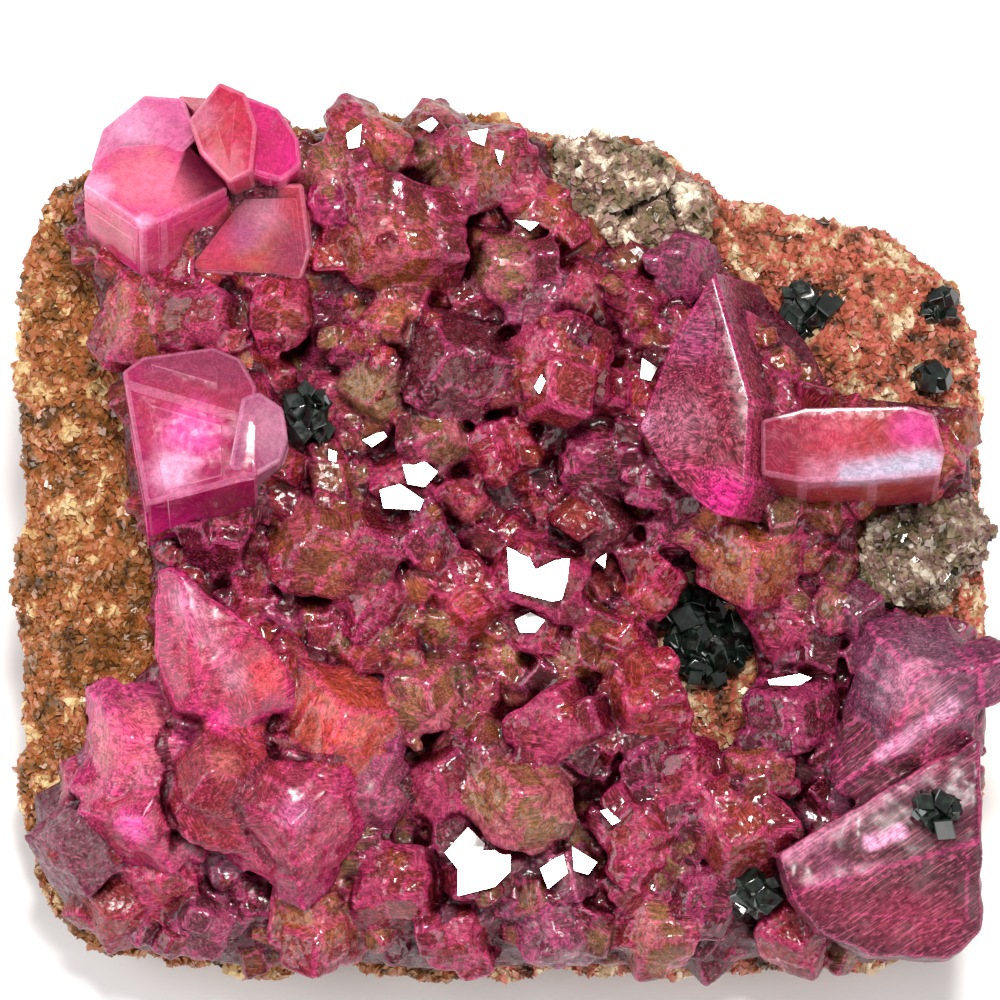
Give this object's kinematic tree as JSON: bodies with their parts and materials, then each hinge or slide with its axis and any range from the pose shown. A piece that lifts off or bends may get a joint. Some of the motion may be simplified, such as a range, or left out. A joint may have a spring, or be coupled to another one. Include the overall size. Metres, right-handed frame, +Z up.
{
  "type": "dolomite specimen",
  "caption": "Pink cobaltoan dolomite rhombs grown over brown dolomite rock, lying on the rock's flat trimmed back.",
  "frame": {"origin": "middle of the specimen's bounding box, on the flat back that it lies on", "axes": "+X to the right of the crystal face, which is the longest side; +Y away from the viewer, towards the crown crystals; +Z up. The crystal face looks up and leans 18 degrees towards -Y"},
  "size_m": [0.0495, 0.0466, 0.025],
  "materials": {
    "brown_rock": "matte",
    "pink_dolomite": "gloss",
    "pale_grains": "satin",
    "dark_crystals": "gloss"
  },
  "bodies": {
    "root": {"matrix": "brown_rock", "crystal_crust": "pink_dolomite", "crown_crystals": "pink_dolomite", "left_tablet_crystal": "pink_dolomite", "lower_left_crystals": "pink_dolomite", "right_rhomb_crystal": "pink_dolomite", "right_block_crystal": "pink_dolomite", "lower_right_crystals": "pink_dolomite", "dark_cluster_1": "dark_crystals", "dark_cluster_2": "dark_crystals", "dark_cluster_3": "dark_crystals", "dark_cluster_4": "dark_crystals", "dark_cluster_5": "dark_crystals", "dark_cluster_6": "dark_crystals", "dark_cluster_7": "dark_crystals", "pale_patch_top": "pale_grains", "pale_patch_right": "pale_grains"}
  },
  "joints": []
}
